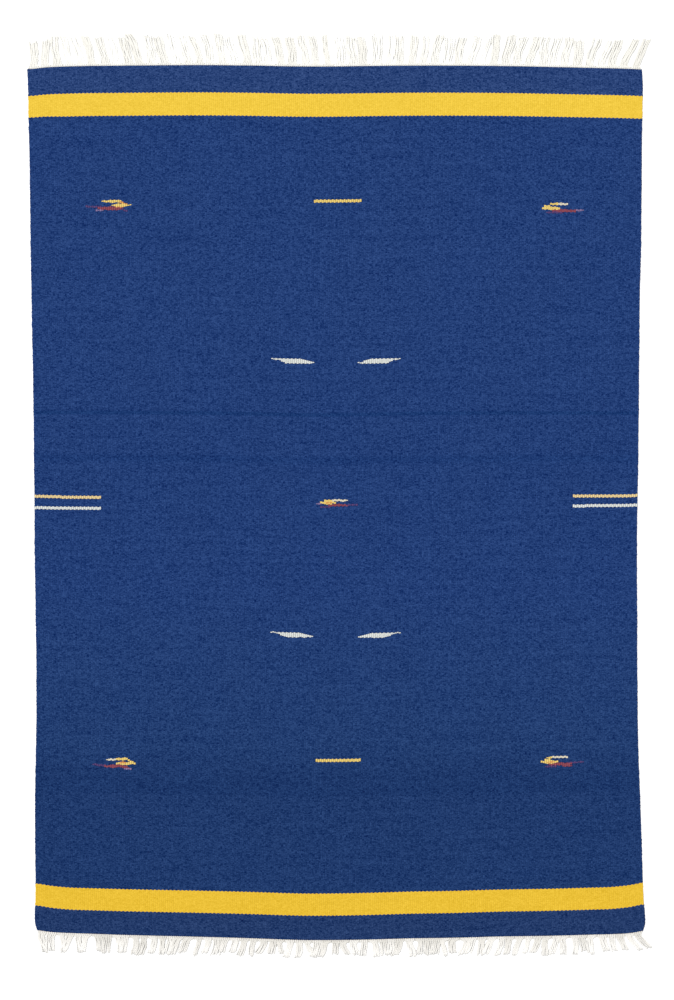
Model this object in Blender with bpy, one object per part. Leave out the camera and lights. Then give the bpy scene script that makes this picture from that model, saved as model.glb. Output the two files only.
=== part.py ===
"""Flat-woven kilim rug: one woven cloth and, at each end, a fringe of its own warp ends.

Lengths are in metres. +Z is up and +Y runs along the warp, towards the head end. The origin is
under the middle of the cloth, on the floor. The cloth's sides aren't straight: it is narrowest
a little below its middle, and its foot end bows outwards.
"""
import math
from typing import NamedTuple

import bmesh
import bpy

CLOTH_THICKNESS = 0.0040
COCKLE_HEIGHT = 0.0003
COCKLE_LENGTH = 0.62
CLOTH_STEPS_ACROSS = 40
CLOTH_STEPS_ALONG = 30
RIM_BEVEL = 0.0012
RIM_ANGLE = math.radians(50)

PIECE_GAP = 0.0005
ROOT_STRIP_WIDTH = 0.0070
ROOT_STRIP_HEIGHT = 0.0034
ROOT_STRIP_INSET = 0.0030

STRAND_ROOT_HEIGHT = 0.0034
STRAND_TIP_HEIGHT = 0.0022
STRAND_TOP_SHARE = 0.55
STRAND_CURVE = 1.3
STRAND_UNEVEN_LENGTH = 0.0030
TUFT_UNEVEN_LEAN = 0.0028


class SideRow(NamedTuple):
    """Where the two long sides lie at one height along the rug."""

    along: float
    left: float
    right: float


class EndRow(NamedTuple):
    """Where the two short ends lie at one place across the rug."""

    across: float
    head: float
    foot: float


class LieRow(NamedTuple):
    """How the fringe lies at one place: its tips' sideways reach and its length, for each end."""

    across: float
    head_lean: float
    head_length: float
    foot_lean: float
    foot_length: float


SIDES = (
    SideRow(along=-0.990, left=-0.6895, right=0.7078),
    SideRow(along=-0.972, left=-0.6942, right=0.7129),
    SideRow(along=-0.953, left=-0.6943, right=0.7122),
    SideRow(along=-0.921, left=-0.6931, right=0.7096),
    SideRow(along=-0.875, left=-0.6930, right=0.7076),
    SideRow(along=-0.806, left=-0.6936, right=0.7055),
    SideRow(along=-0.690, left=-0.6942, right=0.7018),
    SideRow(along=-0.575, left=-0.6920, right=0.6972),
    SideRow(along=-0.460, left=-0.6907, right=0.6954),
    SideRow(along=-0.344, left=-0.6914, right=0.6946),
    SideRow(along=-0.229, left=-0.6932, right=0.6946),
    SideRow(along=-0.113, left=-0.6950, right=0.6938),
    SideRow(along=0.000, left=-0.6953, right=0.6952),
    SideRow(along=0.117, left=-0.6967, right=0.6972),
    SideRow(along=0.233, left=-0.6978, right=0.6983),
    SideRow(along=0.348, left=-0.7000, right=0.6994),
    SideRow(along=0.464, left=-0.7022, right=0.7003),
    SideRow(along=0.579, left=-0.7041, right=0.7033),
    SideRow(along=0.694, left=-0.7055, right=0.7044),
    SideRow(along=0.787, left=-0.7066, right=0.7051),
    SideRow(along=0.856, left=-0.7086, right=0.7058),
    SideRow(along=0.902, left=-0.7091, right=0.7065),
    SideRow(along=0.937, left=-0.7097, right=0.7073),
    SideRow(along=0.967, left=-0.7108, right=0.7074),
    SideRow(along=0.996, left=-0.7122, right=0.7055),
)

ENDS = (
    EndRow(across=-0.712, head=0.9974, foot=-0.9870),
    EndRow(across=-0.696, head=0.9980, foot=-0.9885),
    EndRow(across=-0.682, head=0.9998, foot=-0.9900),
    EndRow(across=-0.659, head=1.0018, foot=-0.9933),
    EndRow(across=-0.624, head=1.0032, foot=-0.9954),
    EndRow(across=-0.567, head=1.0046, foot=-0.9974),
    EndRow(across=-0.497, head=1.0052, foot=-0.9998),
    EndRow(across=-0.405, head=1.0060, foot=-1.0022),
    EndRow(across=-0.313, head=1.0064, foot=-1.0044),
    EndRow(across=-0.197, head=1.0054, foot=-1.0077),
    EndRow(across=-0.082, head=1.0033, foot=-1.0117),
    EndRow(across=0.001, head=1.0034, foot=-1.0119),
    EndRow(across=0.080, head=1.0045, foot=-1.0106),
    EndRow(across=0.172, head=1.0053, foot=-1.0081),
    EndRow(across=0.264, head=1.0053, foot=-1.0068),
    EndRow(across=0.380, head=1.0044, foot=-1.0037),
    EndRow(across=0.495, head=1.0022, foot=-1.0020),
    EndRow(across=0.587, head=1.0001, foot=-0.9995),
    EndRow(across=0.645, head=0.9988, foot=-0.9980),
    EndRow(across=0.680, head=0.9976, foot=-0.9957),
    EndRow(across=0.705, head=0.9964, foot=-0.9912),
)

LIE = (
    LieRow(across=-0.700, head_lean=0.002, head_length=0.058, foot_lean=0.002, foot_length=0.040),
    LieRow(across=-0.640, head_lean=-0.012, head_length=0.062, foot_lean=0.002, foot_length=0.035),
    LieRow(across=-0.400, head_lean=-0.018, head_length=0.063, foot_lean=-0.008, foot_length=0.033),
    LieRow(across=-0.150, head_lean=-0.010, head_length=0.063, foot_lean=-0.004, foot_length=0.029),
    LieRow(across=0.100, head_lean=0.002, head_length=0.062, foot_lean=0.000, foot_length=0.029),
    LieRow(across=0.350, head_lean=0.012, head_length=0.062, foot_lean=-0.006, foot_length=0.032),
    LieRow(across=0.560, head_lean=0.016, head_length=0.059, foot_lean=0.000, foot_length=0.034),
    LieRow(across=0.690, head_lean=0.024, head_length=0.058, foot_lean=0.020, foot_length=0.032),
)


class FringeEnd(NamedTuple):
    """One end's fringe: its node name, where it grows, its direction and how its tufts are made up."""

    name: str
    end: str
    along: float
    outwards: float
    tufts: int
    strands: int
    root_width: float
    root_spacing: float
    tip_width: float
    tip_spacing: float
    steps: int


HEAD_FRINGE = FringeEnd(
    name="head_fringe",
    end="head",
    along=1.0,
    outwards=1.0,
    tufts=52,
    strands=3,
    root_width=0.0058,
    root_spacing=0.0065,
    tip_width=0.0052,
    tip_spacing=0.0073,
    steps=3,
)

FOOT_FRINGE = FringeEnd(
    name="foot_fringe",
    end="foot",
    along=0.0,
    outwards=-1.0,
    tufts=66,
    strands=2,
    root_width=0.0066,
    root_spacing=0.0074,
    tip_width=0.0060,
    tip_spacing=0.0084,
    steps=2,
)


def between_rows(rows, column, at):
    """Reads one column of a table at any place, as a smooth curve through its rising rows."""
    places = [row[0] for row in rows]
    values = [getattr(row, column) for row in rows]
    at = min(max(at, places[0]), places[-1])
    last = len(rows) - 1
    lower = max(index for index in range(last) if places[index] <= at)
    upper = lower + 1

    def slope(index):
        before = max(index - 1, 0)
        after = min(index + 1, last)
        return (values[after] - values[before]) / (places[after] - places[before])

    span = places[upper] - places[lower]
    share = (at - places[lower]) / span
    from_lower = (2 * share**3 - 3 * share**2 + 1) * values[lower]
    from_upper = (3 * share**2 - 2 * share**3) * values[upper]
    bend_lower = (share**3 - 2 * share**2 + share) * span * slope(lower)
    bend_upper = (share**3 - share**2) * span * slope(upper)
    return from_lower + from_upper + bend_lower + bend_upper


def cloth_place(across, along):
    """Gives x and y for a share across the weave and a share along it, both from 0 to 1."""
    low_y, high_y = SIDES[0].along, SIDES[-1].along
    side_y = low_y + (high_y - low_y) * along
    left = between_rows(SIDES, "left", side_y)
    right = between_rows(SIDES, "right", side_y)
    x = left + (right - left) * across
    head = between_rows(ENDS, "head", x)
    foot = between_rows(ENDS, "foot", x)
    return x, foot + (head - foot) * along


def closer_at_ends(share):
    """Spaces even steps from 0 to 1 closer together near both ends, where corners need them."""
    return (1 - math.cos(math.pi * share)) / 2


def cockle(x, y):
    """Gives how far the cloth's upper face stands above or below its even thickness."""
    turn = 2 * math.pi / COCKLE_LENGTH
    return COCKLE_HEIGHT * (math.sin(turn * y) + 0.5 * math.sin(0.8 * turn * x + 0.3 * turn * y))


def uneven(number):
    """Gives an irregular value from -1 to 1 for a running number, the same at each run."""
    golden_turn = 2.399963
    return math.sin(golden_turn * number + 1.7 * math.sin(0.9 * number))


def yarn_material(name, colour, roughness):
    """Makes one plain yarn finish."""
    material = bpy.data.materials.new(name)
    material.use_nodes = True
    shader = material.node_tree.nodes["Principled BSDF"]
    shader.inputs["Base Color"].default_value = (*colour, 1.0)
    shader.inputs["Roughness"].default_value = roughness
    shader.inputs["Metallic"].default_value = 0.0
    material.diffuse_color = (*colour, 1.0)
    return material


def object_from(bm, name, material):
    """Turns a finished bmesh into a named object with its material, its faces pointing out."""
    bmesh.ops.recalc_face_normals(bm, faces=bm.faces)
    mesh = bpy.data.meshes.new(name)
    bm.to_mesh(mesh)
    bm.free()
    mesh.materials.append(material)
    piece = bpy.data.objects.new(name, mesh)
    bpy.context.collection.objects.link(piece)
    return piece


def build_cloth():
    """Models the woven rug: flat underneath, a little uneven on top, its rim rounded off."""
    bm = bmesh.new()
    bmesh.ops.create_grid(
        bm, x_segments=CLOTH_STEPS_ACROSS, y_segments=CLOTH_STEPS_ALONG, size=0.5
    )
    for vert in bm.verts:
        across = closer_at_ends(vert.co.x + 0.5)
        along = closer_at_ends(vert.co.y + 0.5)
        vert.co.x, vert.co.y = cloth_place(across, along)
    underside = list(bm.faces)
    raised = bmesh.ops.extrude_face_region(bm, geom=underside, use_keep_orig=True)
    for element in raised["geom"]:
        if isinstance(element, bmesh.types.BMVert):
            element.co.z = CLOTH_THICKNESS + cockle(element.co.x, element.co.y)
    bmesh.ops.dissolve_faces(bm, faces=underside)
    blue = yarn_material("blue_wool", (0.019, 0.051, 0.180), 0.92)
    cloth = object_from(bm, "woven_rug", blue)
    bevel = cloth.modifiers.new("rounded_rim", "BEVEL")
    bevel.width = RIM_BEVEL
    bevel.segments = 1
    bevel.limit_method = "ANGLE"
    bevel.angle_limit = RIM_ANGLE
    return cloth


def cloth_corners(fringe):
    """Gives where the cloth's left and right corners lie across the rug, at a fringe's end."""
    return cloth_place(0.0, fringe.along)[0], cloth_place(1.0, fringe.along)[0]


def strip_column(bm, fringe, x):
    """Adds the four corners of the root strip's section at one place across the rug."""
    left, right = cloth_corners(fringe)
    cloth_edge = cloth_place((x - left) / (right - left), fringe.along)[1]
    inner = cloth_edge + fringe.outwards * PIECE_GAP
    outer = inner + fringe.outwards * ROOT_STRIP_WIDTH
    corners = ((inner, 0.0), (outer, 0.0), (outer, ROOT_STRIP_HEIGHT), (inner, ROOT_STRIP_HEIGHT))
    return [bm.verts.new((x, y, z)) for y, z in corners]


def strand_section(bm, x, y, width, height):
    """Adds one four-sided section of a strand, broad on the floor and narrower on top."""
    half = width / 2
    top = half * STRAND_TOP_SHARE
    corners = ((-half, 0.0), (half, 0.0), (top, height), (-top, height))
    return [bm.verts.new((x + side, y, z)) for side, z in corners]


def join_sections(bm, first, second):
    """Skins the four sides between two sections."""
    for corner in range(4):
        after = (corner + 1) % 4
        bm.faces.new((first[corner], first[after], second[after], second[corner]))


def add_strand(bm, fringe, left_column, right_column, tuft, place):
    """Grows one strand from the root strip's outer wall, level on the floor, to its tip."""
    section = [left_column[1], right_column[1], right_column[2], left_column[2]]
    root_x = (left_column[1].co.x + right_column[1].co.x) / 2
    root_y = (left_column[1].co.y + right_column[1].co.y) / 2
    number = tuft * fringe.strands + place
    lean = between_rows(LIE, fringe.end + "_lean", root_x)
    lean += TUFT_UNEVEN_LEAN * uneven(tuft)
    length = between_rows(LIE, fringe.end + "_length", root_x)
    length += STRAND_UNEVEN_LENGTH * uneven(number)
    fan = (place - (fringe.strands - 1) / 2) * (fringe.tip_spacing - fringe.root_spacing)
    for step in range(1, fringe.steps + 1):
        share = step / fringe.steps
        x = root_x + lean * share**STRAND_CURVE + fan * share
        y = root_y + fringe.outwards * length * share
        width = fringe.root_width + (fringe.tip_width - fringe.root_width) * share
        height = STRAND_ROOT_HEIGHT + (STRAND_TIP_HEIGHT - STRAND_ROOT_HEIGHT) * share
        following = strand_section(bm, x, y, width, height)
        join_sections(bm, section, following)
        section = following
    bm.faces.new(section)


def build_fringe(fringe, material):
    """Models one end's fringe: strands in tufts, fused at their roots into a narrow strip."""
    bm = bmesh.new()
    left_corner, right_corner = cloth_corners(fringe)
    left_end = left_corner + ROOT_STRIP_INSET
    right_end = right_corner - ROOT_STRIP_INSET
    pitch = (right_end - left_end) / fringe.tufts
    column = strip_column(bm, fringe, left_end)
    bm.faces.new(column)
    roots = []
    for tuft in range(fringe.tufts):
        middle = left_end + (tuft + 0.5) * pitch
        for place in range(fringe.strands):
            centre = middle + (place - (fringe.strands - 1) / 2) * fringe.root_spacing
            roots.append((centre - fringe.root_width / 2, tuft, place))
    for left_x, tuft, place in roots:
        left_column = strip_column(bm, fringe, left_x)
        right_column = strip_column(bm, fringe, left_x + fringe.root_width)
        join_sections(bm, column, left_column)
        for first, second in ((3, 0), (0, 1), (2, 3)):
            near = (left_column[first], left_column[second])
            far = (right_column[second], right_column[first])
            bm.faces.new(near + far)
        add_strand(bm, fringe, left_column, right_column, tuft, place)
        column = right_column
    last_column = strip_column(bm, fringe, right_end)
    join_sections(bm, column, last_column)
    bm.faces.new(last_column)
    return object_from(bm, fringe.name, material)


def clear_scene():
    """Empties the scene before the model is built."""
    for item in list(bpy.data.objects):
        bpy.data.objects.remove(item, do_unlink=True)


def main():
    """Builds the rug: its cloth and the fringe at each end, held together by one empty."""
    clear_scene()
    rug = bpy.data.objects.new("kilim_rug", None)
    bpy.context.collection.objects.link(rug)
    cloth = build_cloth()
    head = build_fringe(HEAD_FRINGE, yarn_material("head_cotton", (0.86, 0.84, 0.78), 0.90))
    foot = build_fringe(FOOT_FRINGE, yarn_material("foot_cotton", (0.80, 0.77, 0.71), 0.90))
    for piece in (cloth, head, foot):
        piece.parent = rug


main()
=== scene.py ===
"""Looks of a flat-woven kilim rug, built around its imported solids.

The cloth is a weft-faced plain weave: thick wool weft, beaten down hard over a cotton warp, so that
only the weft shows and each warp end makes one rib. The wool turns back round a cord at both sides.
At the head and the foot the warp ends are held by twined rows and hang out as a fringe.
"""
import logging
import math
from dataclasses import dataclass
from enum import Enum, IntEnum
from typing import NamedTuple, Sequence

import bpy
import numpy as np
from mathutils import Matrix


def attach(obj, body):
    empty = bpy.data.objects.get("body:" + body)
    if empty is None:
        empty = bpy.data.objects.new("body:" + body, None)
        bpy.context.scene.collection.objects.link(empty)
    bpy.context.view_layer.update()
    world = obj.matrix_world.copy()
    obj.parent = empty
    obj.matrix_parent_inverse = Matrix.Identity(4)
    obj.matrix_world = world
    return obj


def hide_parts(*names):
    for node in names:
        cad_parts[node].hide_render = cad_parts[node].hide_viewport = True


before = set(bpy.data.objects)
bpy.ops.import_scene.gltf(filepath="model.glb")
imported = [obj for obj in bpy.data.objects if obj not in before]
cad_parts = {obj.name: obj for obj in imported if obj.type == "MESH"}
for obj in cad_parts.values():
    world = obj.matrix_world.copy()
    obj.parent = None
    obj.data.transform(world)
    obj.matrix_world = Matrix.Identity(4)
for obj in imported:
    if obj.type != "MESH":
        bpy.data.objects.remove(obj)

LOG = logging.getLogger("kilim_rug")
MM = 0.001
WEAVE_PLACE = "weave_place"
YARN_PLACE = "yarn_place"
YARN_TONE = "yarn_tone"

TURN = 2 * math.pi
# How the values that uneven gives turn and stray from one number to the next.
GOLDEN_TURN = 2.399963
STRAY_TURN = 1.7
STRAY_PACE = 0.9
# Added to a thing's number for a second irregular value.
SECOND_DRAW = 50
# How far apart the yarns of one piece lie in their cotton's noise, in metres.
YARN_APART = 0.37
FUZZ_ROUGHNESS = 0.5

Shade = tuple[float, float, float]
Limits = tuple[float, float]


class Edge(Enum):
    """The rug's two short ends and its two long sides."""

    HEAD = "head"
    FOOT = "foot"
    LEFT = "left"
    RIGHT = "right"

    @property
    def share(self) -> float:
        """Where the edge lies along or across the weave, 0 at the foot or left and 1 opposite."""
        return 1.0 if self in (Edge.HEAD, Edge.RIGHT) else 0.0

    @property
    def outwards(self) -> float:
        """The way that the edge faces along Y or X."""
        return 2 * self.share - 1


class Face(Enum):
    """The two faces of the cloth."""

    UPPER = "upper"
    UNDER = "under"


class SideRow(NamedTuple):
    """Where the two long sides lie at one height along the rug."""

    along: float
    left: float
    right: float


class EndRow(NamedTuple):
    """Where the two short ends lie at one place across the rug."""

    across: float
    head: float
    foot: float


class LieRow(NamedTuple):
    """How the fringe lies at one place: its tips' sideways reach and its length, for each end."""

    across: float
    head_lean: float
    head_length: float
    foot_lean: float
    foot_length: float


SIDES = tuple(SideRow(*row) for row in (
    (-0.990, -0.6895, 0.7078), (-0.972, -0.6942, 0.7129), (-0.953, -0.6943, 0.7122),
    (-0.921, -0.6931, 0.7096), (-0.875, -0.6930, 0.7076), (-0.806, -0.6936, 0.7055),
    (-0.690, -0.6942, 0.7018), (-0.575, -0.6920, 0.6972), (-0.460, -0.6907, 0.6954),
    (-0.344, -0.6914, 0.6946), (-0.229, -0.6932, 0.6946), (-0.113, -0.6950, 0.6938),
    (0.000, -0.6953, 0.6952), (0.117, -0.6967, 0.6972), (0.233, -0.6978, 0.6983),
    (0.348, -0.7000, 0.6994), (0.464, -0.7022, 0.7003), (0.579, -0.7041, 0.7033),
    (0.694, -0.7055, 0.7044), (0.787, -0.7066, 0.7051), (0.856, -0.7086, 0.7058),
    (0.902, -0.7091, 0.7065), (0.937, -0.7097, 0.7073), (0.967, -0.7108, 0.7074),
    (0.996, -0.7122, 0.7055),
))

ENDS = tuple(EndRow(*row) for row in (
    (-0.712, 0.9974, -0.9870), (-0.696, 0.9980, -0.9885), (-0.682, 0.9998, -0.9900),
    (-0.659, 1.0018, -0.9933), (-0.624, 1.0032, -0.9954), (-0.567, 1.0046, -0.9974),
    (-0.497, 1.0052, -0.9998), (-0.405, 1.0060, -1.0022), (-0.313, 1.0064, -1.0044),
    (-0.197, 1.0054, -1.0077), (-0.082, 1.0033, -1.0117), (0.001, 1.0034, -1.0119),
    (0.080, 1.0045, -1.0106), (0.172, 1.0053, -1.0081), (0.264, 1.0053, -1.0068),
    (0.380, 1.0044, -1.0037), (0.495, 1.0022, -1.0020), (0.587, 1.0001, -0.9995),
    (0.645, 0.9988, -0.9980), (0.680, 0.9976, -0.9957), (0.705, 0.9964, -0.9912),
))

LIE = tuple(LieRow(*row) for row in (
    (-0.700, 0.002, 0.058, 0.002, 0.040), (-0.640, -0.012, 0.062, 0.002, 0.035),
    (-0.400, -0.018, 0.063, -0.008, 0.033), (-0.150, -0.010, 0.063, -0.004, 0.029),
    (0.100, 0.002, 0.062, 0.000, 0.029), (0.350, 0.012, 0.062, -0.006, 0.032),
    (0.560, 0.016, 0.059, 0.000, 0.034), (0.690, 0.024, 0.058, 0.020, 0.032),
))


def read_rows(rows: Sequence[NamedTuple], column: str, at: np.ndarray) -> np.ndarray:
    """Reads one column of a table as a smooth curve through its rows.

    Args:
        rows: the table, in rising order of its first column.
        column: the name of the column to read.
        at: places in the first column's terms.

    Returns:
        The column's value at each place.
    """
    places = np.array([row[0] for row in rows])
    values = np.array([getattr(row, column) for row in rows])
    slopes = np.empty_like(values)
    slopes[1:-1] = (values[2:] - values[:-2]) / (places[2:] - places[:-2])
    slopes[0] = (values[1] - values[0]) / (places[1] - places[0])
    slopes[-1] = (values[-1] - values[-2]) / (places[-1] - places[-2])
    at = np.clip(at, places[0], places[-1])
    lower = np.clip(np.searchsorted(places, at, side="right") - 1, 0, len(places) - 2)
    span = places[lower + 1] - places[lower]
    share = (at - places[lower]) / span
    from_lower = (2 * share**3 - 3 * share**2 + 1) * values[lower]
    from_upper = (3 * share**2 - 2 * share**3) * values[lower + 1]
    bend_lower = (share**3 - 2 * share**2 + share) * span * slopes[lower]
    bend_upper = (share**3 - share**2) * span * slopes[lower + 1]
    return from_lower + from_upper + bend_lower + bend_upper


def uneven(number: np.ndarray) -> np.ndarray:
    """Gives an irregular value from -1 to 1 for each whole number, the same at each run."""
    return np.sin(GOLDEN_TURN * number + STRAY_TURN * np.sin(STRAY_PACE * number))


def ease(share: np.ndarray) -> np.ndarray:
    """Turns an even climb from 0 to 1 into one that starts and ends gently."""
    return share * share * (3 - 2 * share)


def as_rows(*columns: object) -> np.ndarray:
    """Lays numbers or arrays side by side, with one row for each place."""
    return np.stack(np.broadcast_arrays(*columns), axis=-1).reshape(-1, len(columns))


def run_along(paths: np.ndarray) -> np.ndarray:
    """Gives how far each point of each path lies from the start of its path."""
    steps = np.linalg.norm(np.diff(paths, axis=1), axis=2)
    return np.pad(np.cumsum(steps, axis=1), ((0, 0), (1, 0)))


class Wave(NamedTuple):
    """A wave over the cloth: its radians a metre along and across, and where it starts."""

    along: float
    across: float = 0.0
    start: float = 0.0

    def at(self, along: np.ndarray, across: np.ndarray) -> np.ndarray:
        """Gives the wave's height at each place, from -1 to 1."""
        return np.sin(self.along * along + self.across * across + self.start)


@dataclass(frozen=True)
class RugPlan:
    """The outline of the laid cloth, and its slight cockle."""

    cockle_height: float = 0.3 * MM
    cockle_length: float = 0.62
    crossing_height: float = 0.5
    crossing_turns: float = 0.8
    crossing_slant: float = 0.3

    def place(self, across: np.ndarray, along: np.ndarray) -> tuple[np.ndarray, np.ndarray]:
        """Finds where a point of the weave lies on the floor.

        Args:
            across: shares across the weave, 0 at the left side and 1 at the right.
            along: shares along the weave, 0 at the foot and 1 at the head.

        Returns:
            The x and y of each point, in metres.
        """
        low_y, high_y = SIDES[0].along, SIDES[-1].along
        side_y = low_y + (high_y - low_y) * along
        left = read_rows(SIDES, "left", side_y)
        right = read_rows(SIDES, "right", side_y)
        x = left + (right - left) * across
        head = read_rows(ENDS, "head", x)
        foot = read_rows(ENDS, "foot", x)
        return x, foot + (head - foot) * along

    def cockle(self, x: np.ndarray, y: np.ndarray) -> np.ndarray:
        """Gives how far the upper face stands above or below its even height.

        Args:
            x: places across the rug.
            y: places along the rug.

        Returns:
            The rise at each place, in metres.
        """
        turn = TURN / self.cockle_length
        crossing = np.sin(self.crossing_turns * turn * x + self.crossing_slant * turn * y)
        return self.cockle_height * (np.sin(turn * y) + self.crossing_height * crossing)


@dataclass(frozen=True)
class Weave:
    """The counts and sizes of the weave, and the form of its ribs.

    In its methods a place is given in metres across the weave from its left side, and in metres
    along it from its foot end.
    """

    plan: RugPlan
    warps: int = 308
    picks: int = 1904
    width: float = 1.400
    length: float = 2.000
    foot_slant: float = 4.5 * MM
    head_slant: float = 1.0 * MM
    foot_bow: float = 3.4 * MM
    foot_bow_end: float = 0.32
    foot_bow_fade: float = 0.20
    head_bow: float = 3.6 * MM
    head_bow_middle: float = 1.885
    head_bow_fade: float = 0.055
    bow_reach: float = 95 * MM
    thickness: float = 4.0 * MM
    rib_depth: float = 0.55 * MM
    rib_sharpness: float = 1.2
    rib_unevenness: float = 0.10 * MM
    rib_swell: float = 5.0
    rib_swell_shift: float = 2.1
    rib_wander: float = 0.35 * MM
    wander_waves: tuple[Wave, ...] = (Wave(9.0, 14.0), Wave(23.0, -31.0, 1.3))
    end_roll: float = 2.5 * MM
    end_drop: float = 1.1 * MM

    @property
    def warp_pitch(self) -> float:
        """The spacing of the warp ends, which is the width of one rib."""
        return self.width / self.warps

    @property
    def pick_pitch(self) -> float:
        """The spacing of the picks of weft along the rug."""
        return self.length / self.picks

    def spot(self, across: np.ndarray, along: np.ndarray) -> tuple[np.ndarray, np.ndarray]:
        """Finds where a point of the weave lies, with the ribs' slight wandering.

        Args:
            across: metres across the weave.
            along: metres along the weave.

        Returns:
            The x and y of each point, in metres.
        """
        share = across / self.width
        x, y = self.plan.place(share, along / self.length)
        free = np.clip(4 * share * (1 - share), 0, 1)
        return x + self.rib_wander * free * sum(wave.at(along, across) for wave in self.wander_waves), y

    def dyed_place(self, across: np.ndarray, along: np.ndarray) -> np.ndarray:
        """Gives each point's place among the warps and picks, which lie at a slight slant.

        Args:
            across: metres across the weave.
            along: metres along the weave.

        Returns:
            One row for each point: metres across, metres along and nothing.
        """
        slant = self.foot_slant + (self.head_slant - self.foot_slant) * (along / self.length)
        slanted = along - slant * (across / self.width - 0.5) - self.bow(across, along)
        return as_rows(across, slanted, 0.0)

    def bow(self, across: np.ndarray, along: np.ndarray) -> np.ndarray:
        """Gives how far the picks ride up beside the selvedges: both at the foot, the left at the head.

        Args:
            across: metres across the weave.
            along: metres along the weave.

        Returns:
            The rise of the picks at each point, in metres.
        """
        to_side = np.minimum(across, self.width - across)
        near = ease(np.clip(1 - to_side / self.bow_reach, 0, 1))
        at_foot = np.clip((self.foot_bow_end - along) / self.foot_bow_fade, 0, 1)
        at_head = np.clip(1 - np.abs(along - self.head_bow_middle) / self.head_bow_fade, 0, 1)
        on_left = across < self.width / 2
        return near * (self.foot_bow * at_foot + self.head_bow * (at_head * on_left))

    def rib(self, across: np.ndarray, along: np.ndarray) -> np.ndarray:
        """Gives how far the face lies below the crests of its ribs.

        Args:
            across: metres across the weave.
            along: metres along the weave.

        Returns:
            The drop at each point, in metres.
        """
        turns = across / self.warp_pitch
        hollow = (1 - np.abs(np.sin(math.pi * turns))) ** self.rib_sharpness
        number = np.floor(turns)
        swell = uneven(number) * np.sin(self.rib_swell * along + self.rib_swell_shift * number)
        return self.rib_depth * hollow + self.rib_unevenness * (1 - swell) / 2

    def face_height(self, face: Face, across: np.ndarray, along: np.ndarray) -> np.ndarray:
        """Gives the height of one face of the cloth.

        Args:
            face: which face.
            across: metres across the weave.
            along: metres along the weave.

        Returns:
            The z of each point, in metres.
        """
        drop = self.rib(across, along)
        if face is Face.UNDER:
            return drop
        x, y = self.spot(across, along)
        to_end = np.clip(np.minimum(along, self.length - along) / self.end_roll, 0, 1)
        roll = self.end_drop * (1 - np.sqrt(1 - (1 - to_end) ** 2))
        return self.thickness + self.plan.cockle(x, y) - drop - roll


def put_in_scene(name: str, data: bpy.types.ID) -> bpy.types.Object:
    """Makes an object and puts it in the scene.

    Args:
        name: its name.
        data: its mesh, lamp or camera.

    Returns:
        The new object.
    """
    item = bpy.data.objects.new(name, data)
    bpy.context.collection.objects.link(item)
    return item


def mesh_object(
    name: str, points: np.ndarray, faces: list[list[int]], finish: bpy.types.Material
) -> bpy.types.Object:
    """Makes a smooth-shaded mesh object.

    Args:
        name: the object's name.
        points: its points, one row of x, y and z for each.
        faces: its faces, as lists of point numbers.
        finish: its material.

    Returns:
        The new object, in the scene.
    """
    mesh = bpy.data.meshes.new(name)
    mesh.from_pydata(points.tolist(), [], faces)
    mesh.shade_smooth()
    mesh.materials.append(finish)
    return put_in_scene(name, mesh)


def set_values(piece: bpy.types.Object, name: str, values: np.ndarray) -> None:
    """Stores a number or a vector on each point of a piece.

    Args:
        piece: the mesh object.
        name: the attribute's name.
        values: one number, or one row of three, for each point.
    """
    kind, field = ("FLOAT", "value") if values.ndim == 1 else ("FLOAT_VECTOR", "vector")
    layer = piece.data.attributes.new(name, kind, "POINT")
    layer.data.foreach_set(field, np.ascontiguousarray(values, dtype=np.float32).ravel())


@dataclass(frozen=True)
class Tubes:
    """Many closed tubes of the same number of sections, ready to be joined in one mesh."""

    paths: np.ndarray
    radii: np.ndarray
    sides: int

    @property
    def angles(self) -> np.ndarray:
        """Where the points of each ring lie round their tube, in radians."""
        return TURN * (np.arange(self.sides) + 0.5) / self.sides

    def points(self) -> np.ndarray:
        """Sweeps a ring along each path.

        Returns:
            One row of x, y and z for each point.
        """
        tangents = np.gradient(self.paths, axis=1)
        tangents /= np.linalg.norm(tangents, axis=2, keepdims=True)
        sideways = np.cross(tangents, (0.0, 0.0, 1.0))
        sideways /= np.linalg.norm(sideways, axis=2, keepdims=True)
        upwards = np.cross(sideways, tangents)
        ring = (
            np.cos(self.angles)[None, None, :, None] * sideways[:, :, None, :]
            + np.sin(self.angles)[None, None, :, None] * upwards[:, :, None, :]
        )
        return (self.paths[:, :, None, :] + self.radii[:, :, None, None] * ring).reshape(-1, 3)

    def faces(self) -> list[list[int]]:
        """Gives the tubes' sides and end caps, all facing out.

        Returns:
            The faces, as lists of point numbers.
        """
        shape = (*self.radii.shape, self.sides)
        numbers = np.arange(math.prod(shape)).reshape(shape)
        turned = np.roll(numbers, -1, axis=2)
        walls = as_rows(numbers[:, :-1], numbers[:, 1:], turned[:, 1:], turned[:, :-1])
        return walls.tolist() + numbers[:, 0, :].tolist() + numbers[:, -1, ::-1].tolist()

    def yarn_places(self) -> np.ndarray:
        """Gives each point's place round and along its own yarn, with each yarn set apart.

        Returns:
            One row for each point, in metres.
        """
        apart = YARN_APART * np.arange(len(self.paths))[:, None, None]
        radii = self.radii[:, :, None]
        run = run_along(self.paths)[:, :, None] + apart
        return as_rows(radii * np.cos(self.angles), radii * np.sin(self.angles), run)

    def spread(self, values: object) -> np.ndarray:
        """Repeats the value of each tube's section over the points of its ring."""
        return np.repeat(np.broadcast_to(values, self.radii.shape).ravel(), self.sides)


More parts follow.
